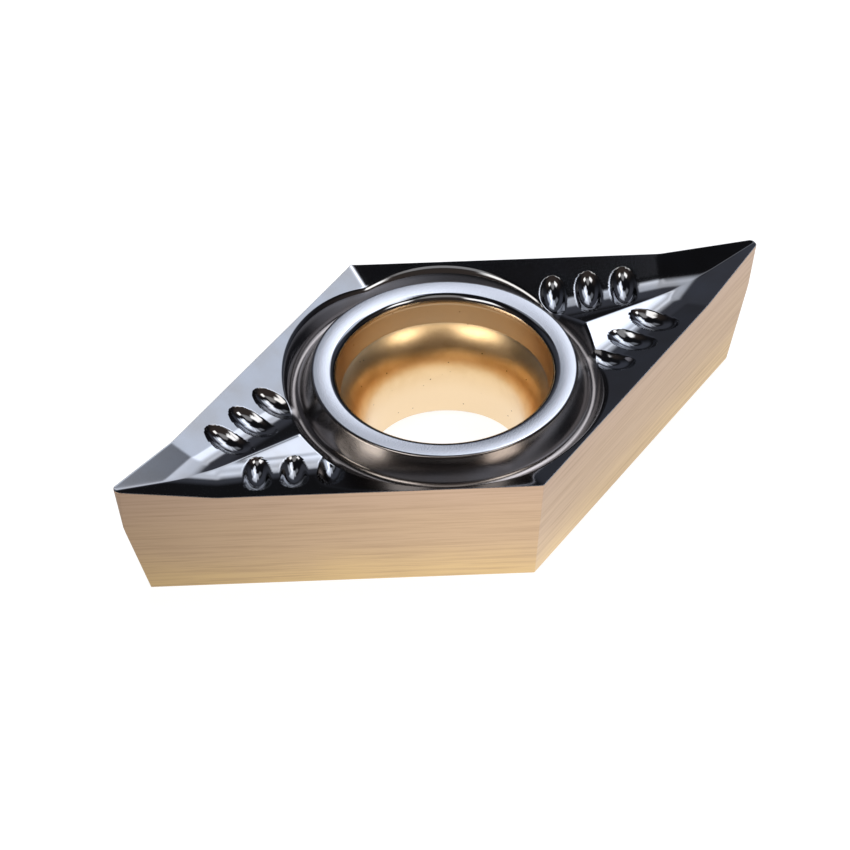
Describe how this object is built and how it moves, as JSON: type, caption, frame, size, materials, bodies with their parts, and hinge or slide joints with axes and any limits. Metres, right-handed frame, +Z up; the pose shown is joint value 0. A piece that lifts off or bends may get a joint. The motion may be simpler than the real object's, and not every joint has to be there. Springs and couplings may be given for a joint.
{
  "type": "carbide insert",
  "caption": "Rhombic turning insert with positive flanks, raised cutting corners, a dimpled chip breaker and a collared hole for its clamping screw.",
  "frame": {"origin": "where the screw hole's axis meets the bottom seat", "axes": "+X along the long diagonal to a cutting corner, +Y along the short diagonal, +Z up along the screw hole, away from the bottom seat"},
  "size_m": [0.0202, 0.0106, 0.004],
  "materials": {
    "coated_carbide": "thin hard coating: polished black on the rake faces, ground gold on the flanks and in the screw hole, satin grey on the collar face"
  },
  "bodies": {
    "root": {"carbide_insert": "coated_carbide"}
  },
  "joints": []
}
